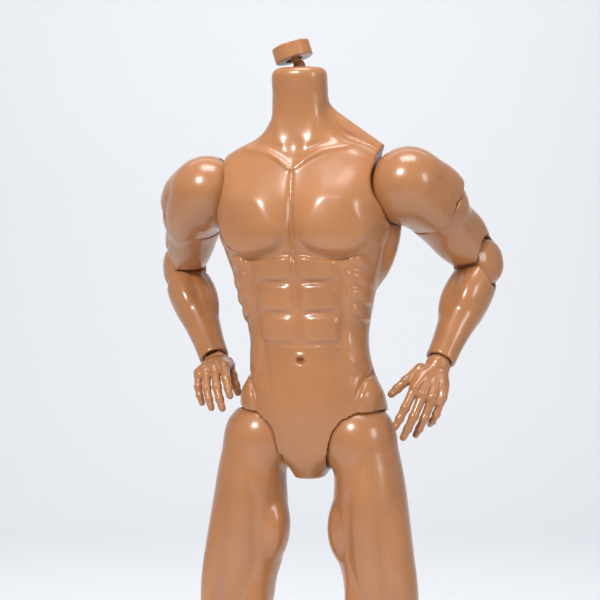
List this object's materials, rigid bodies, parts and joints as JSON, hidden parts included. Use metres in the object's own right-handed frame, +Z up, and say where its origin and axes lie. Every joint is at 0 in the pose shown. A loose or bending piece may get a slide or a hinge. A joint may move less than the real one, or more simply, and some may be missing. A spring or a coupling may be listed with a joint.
{
  "type": "articulated action figure body",
  "caption": "Headless muscular male articulated figure body for posing and dressing, with soft torso skin, swivelling arms and hands, jointed legs and a tilting head connector.",
  "frame": {"origin": "centre of the bounding box on the floor, in the plane of the soles", "axes": "+Z up, -Y the way the figure faces, +X to the left side of the figure"},
  "size_m": [0.1242, 0.0684, 0.2843],
  "materials": {
    "soft_skin": "soft glossy",
    "hard_shell": "glossy",
    "joint_plastic": "satin",
    "frame_plastic": "matte",
    "pin_steel": "brushed",
    "screw_steel": "zinc plated"
  },
  "bodies": {
    "pelvis": {"pelvis_skin": "soft_skin", "pelvis_frame_front": "frame_plastic", "pelvis_frame_back": "frame_plastic", "pelvis_screws": "screw_steel", "waist_pin": "pin_steel"},
    "chest": {"chest_skin": "soft_skin", "chest_frame_front": "frame_plastic", "chest_frame_back": "frame_plastic", "chest_screws": "screw_steel", "neck_post": "frame_plastic"},
    "neck_stud": {"neck_stud": "joint_plastic"},
    "head_connector": {"head_connector": "hard_shell", "connector_pin": "pin_steel"},
    "shoulder_yoke_left": {"shoulder_yoke_left": "joint_plastic"},
    "deltoid_left": {"deltoid_left": "hard_shell", "shoulder_pin_left": "pin_steel"},
    "upper_arm_left": {"upper_arm_left": "hard_shell"},
    "elbow_link_left": {"elbow_link_left": "joint_plastic", "elbow_pins_left": "pin_steel"},
    "forearm_left": {"forearm_left": "hard_shell"},
    "wrist_peg_left": {"wrist_peg_left": "joint_plastic"},
    "hand_left": {"hand_left": "hard_shell", "wrist_pin_left": "pin_steel"},
    "hip_yoke_left": {"hip_yoke_left": "joint_plastic"},
    "hip_block_left": {"hip_block_left": "joint_plastic", "hip_pin_left": "pin_steel"},
    "thigh_left": {"thigh_left": "hard_shell"},
    "knee_link_left": {"knee_link_left": "joint_plastic", "knee_pins_left": "pin_steel"},
    "shin_left": {"shin_left": "hard_shell", "ankle_pin_left": "pin_steel"},
    "ankle_block_left": {"ankle_block_left": "joint_plastic"},
    "foot_left": {"foot_left": "hard_shell", "foot_pin_left": "pin_steel"},
    "shoulder_yoke_right": {"shoulder_yoke_right": "joint_plastic"},
    "deltoid_right": {"deltoid_right": "hard_shell", "shoulder_pin_right": "pin_steel"},
    "upper_arm_right": {"upper_arm_right": "hard_shell"},
    "elbow_link_right": {"elbow_link_right": "joint_plastic", "elbow_pins_right": "pin_steel"},
    "forearm_right": {"forearm_right": "hard_shell"},
    "wrist_peg_right": {"wrist_peg_right": "joint_plastic"},
    "hand_right": {"hand_right": "hard_shell", "wrist_pin_right": "pin_steel"},
    "hip_yoke_right": {"hip_yoke_right": "joint_plastic"},
    "hip_block_right": {"hip_block_right": "joint_plastic", "hip_pin_right": "pin_steel"},
    "thigh_right": {"thigh_right": "hard_shell"},
    "knee_link_right": {"knee_link_right": "joint_plastic", "knee_pins_right": "pin_steel"},
    "shin_right": {"shin_right": "hard_shell", "ankle_pin_right": "pin_steel"},
    "ankle_block_right": {"ankle_block_right": "joint_plastic"},
    "foot_right": {"foot_right": "hard_shell", "foot_pin_right": "pin_steel"}
  },
  "joints": [
    {"name": "waist_bend", "type": "hinge", "parent": "pelvis", "child": "chest", "pos_m": [0.00089, -0.00377, 0.178], "axis": [1, 0, 0], "range_deg": [-8, 10]},
    {"name": "neck_turn", "type": "hinge", "parent": "chest", "child": "neck_stud", "pos_m": [-0.00171, -0.0069, 0.27181], "axis": [0, -0.1366, 0.9906], "range_deg": [-90, 90]},
    {"name": "neck_tilt", "type": "hinge", "parent": "neck_stud", "child": "head_connector", "pos_m": [-0.00371, -0.00796, 0.2794], "axis": [0, 1, 0], "range_deg": [-3, 30]},
    {"name": "shoulder_swing_left", "type": "hinge", "parent": "chest", "child": "shoulder_yoke_left", "pos_m": [0.03339, -0.00277, 0.235], "axis": [-1, 0, 0], "range_deg": [-30, 120]},
    {"name": "shoulder_lift_left", "type": "hinge", "parent": "shoulder_yoke_left", "child": "deltoid_left", "pos_m": [0.03339, -0.00277, 0.235], "axis": [0, -1, 0], "range_deg": [0, 50]},
    {"name": "biceps_turn_left", "type": "hinge", "parent": "deltoid_left", "child": "upper_arm_left", "pos_m": [0.03339, -0.00277, 0.235], "axis": [-0.4948, -0.6747, 0.5477], "range_deg": [0, 75]},
    {"name": "elbow_upper_left", "type": "hinge", "parent": "upper_arm_left", "child": "elbow_link_left", "pos_m": [0.05277, 0.02366, 0.21355], "axis": [-0.8335, 0.5467, -0.0795], "range_deg": [-46, 1]},
    {"name": "elbow_lower_left", "type": "hinge", "parent": "elbow_link_left", "child": "forearm_left", "pos_m": [0.05362, 0.02421, 0.20845], "axis": [-0.8335, 0.5467, -0.0795], "range_deg": [-46, 1]},
    {"name": "wrist_turn_left", "type": "hinge", "parent": "forearm_left", "child": "wrist_peg_left", "pos_m": [0.04279, 0.00303, 0.1763], "axis": [0.2706, 0.5295, 0.804], "range_deg": [-30, 45]},
    {"name": "wrist_bend_left", "type": "hinge", "parent": "wrist_peg_left", "child": "hand_left", "pos_m": [0.04279, 0.00303, 0.1763], "axis": [0.4619, -0.7704, 0.4394], "range_deg": [0, 15]},
    {"name": "hip_swing_left", "type": "hinge", "parent": "pelvis", "child": "hip_yoke_left", "pos_m": [0.01739, -0.00377, 0.152], "axis": [-1, 0, 0], "range_deg": [-15, 50]},
    {"name": "hip_spread_left", "type": "hinge", "parent": "hip_yoke_left", "child": "hip_block_left", "pos_m": [0.01739, -0.00377, 0.152], "axis": [0, -1, 0], "range_deg": [-2, 16]},
    {"name": "thigh_turn_left", "type": "hinge", "parent": "hip_block_left", "child": "thigh_left", "pos_m": [0.01739, -0.00377, 0.152], "axis": [0, 0, 1], "range_deg": [-15, 15]},
    {"name": "knee_upper_left", "type": "hinge", "parent": "thigh_left", "child": "knee_link_left", "pos_m": [0.02543, -0.00377, 0.08297], "axis": [0.9933, 0, 0.1157], "range_deg": [0, 60]},
    {"name": "knee_lower_left", "type": "hinge", "parent": "knee_link_left", "child": "shin_left", "pos_m": [0.02636, -0.00377, 0.07503], "axis": [0.9933, 0, 0.1157], "range_deg": [0, 60]},
    {"name": "ankle_pitch_left", "type": "hinge", "parent": "shin_left", "child": "ankle_block_left", "pos_m": [0.03358, -0.00076, 0.013], "axis": [1, 0, 0], "range_deg": [-20, 20]},
    {"name": "ankle_roll_left", "type": "hinge", "parent": "ankle_block_left", "child": "foot_left", "pos_m": [0.03358, -0.00076, 0.0064], "axis": [0, 1, 0], "range_deg": [-10, 10]},
    {"name": "shoulder_swing_right", "type": "hinge", "parent": "chest", "child": "shoulder_yoke_right", "pos_m": [-0.03541, -0.00277, 0.2346], "axis": [-1, 0, 0], "range_deg": [-30, 120]},
    {"name": "shoulder_lift_right", "type": "hinge", "parent": "shoulder_yoke_right", "child": "deltoid_right", "pos_m": [-0.03541, -0.00277, 0.2346], "axis": [0, 1, 0], "range_deg": [0, 50]},
    {"name": "biceps_turn_right", "type": "hinge", "parent": "deltoid_right", "child": "upper_arm_right", "pos_m": [-0.03541, -0.00277, 0.2346], "axis": [-0.4552, 0.6996, -0.5507], "range_deg": [0, 75]},
    {"name": "elbow_upper_right", "type": "hinge", "parent": "upper_arm_right", "child": "elbow_link_right", "pos_m": [-0.05329, 0.02472, 0.21297], "axis": [-0.8004, -0.5925, -0.091], "range_deg": [-48, 1]},
    {"name": "elbow_lower_right", "type": "hinge", "parent": "elbow_link_right", "child": "forearm_right", "pos_m": [-0.05332, 0.02555, 0.20783], "axis": [-0.8004, -0.5925, -0.091], "range_deg": [-48, 1]},
    {"name": "wrist_turn_right", "type": "hinge", "parent": "forearm_right", "child": "wrist_peg_right", "pos_m": [-0.03491, 0.00543, 0.1768], "axis": [0.4458, -0.4869, -0.7511], "range_deg": [0, 60]},
    {"name": "wrist_bend_right", "type": "hinge", "parent": "wrist_peg_right", "child": "hand_right", "pos_m": [-0.03491, 0.00543, 0.1768], "axis": [-0.955, -0.0916, -0.2821], "range_deg": [0, 15]},
    {"name": "hip_swing_right", "type": "hinge", "parent": "pelvis", "child": "hip_yoke_right", "pos_m": [-0.01561, -0.00377, 0.152], "axis": [-1, 0, 0], "range_deg": [-15, 50]},
    {"name": "hip_spread_right", "type": "hinge", "parent": "hip_yoke_right", "child": "hip_block_right", "pos_m": [-0.01561, -0.00377, 0.152], "axis": [0, 1, 0], "range_deg": [-2, 40]},
    {"name": "thigh_turn_right", "type": "hinge", "parent": "hip_block_right", "child": "thigh_right", "pos_m": [-0.01561, -0.00377, 0.152], "axis": [0, 0, -1], "range_deg": [-15, 15]},
    {"name": "knee_upper_right", "type": "hinge", "parent": "thigh_right", "child": "knee_link_right", "pos_m": [-0.02364, -0.00377, 0.08297], "axis": [0.9933, 0, -0.1157], "range_deg": [0, 60]},
    {"name": "knee_lower_right", "type": "hinge", "parent": "knee_link_right", "child": "shin_right", "pos_m": [-0.02457, -0.00377, 0.07503], "axis": [0.9933, 0, -0.1157], "range_deg": [0, 60]},
    {"name": "ankle_pitch_right", "type": "hinge", "parent": "shin_right", "child": "ankle_block_right", "pos_m": [-0.03179, -0.00076, 0.013], "axis": [1, 0, 0], "range_deg": [-20, 20]},
    {"name": "ankle_roll_right", "type": "hinge", "parent": "ankle_block_right", "child": "foot_right", "pos_m": [-0.03179, -0.00076, 0.0064], "axis": [0, -1, 0], "range_deg": [-10, 10]}
  ]
}
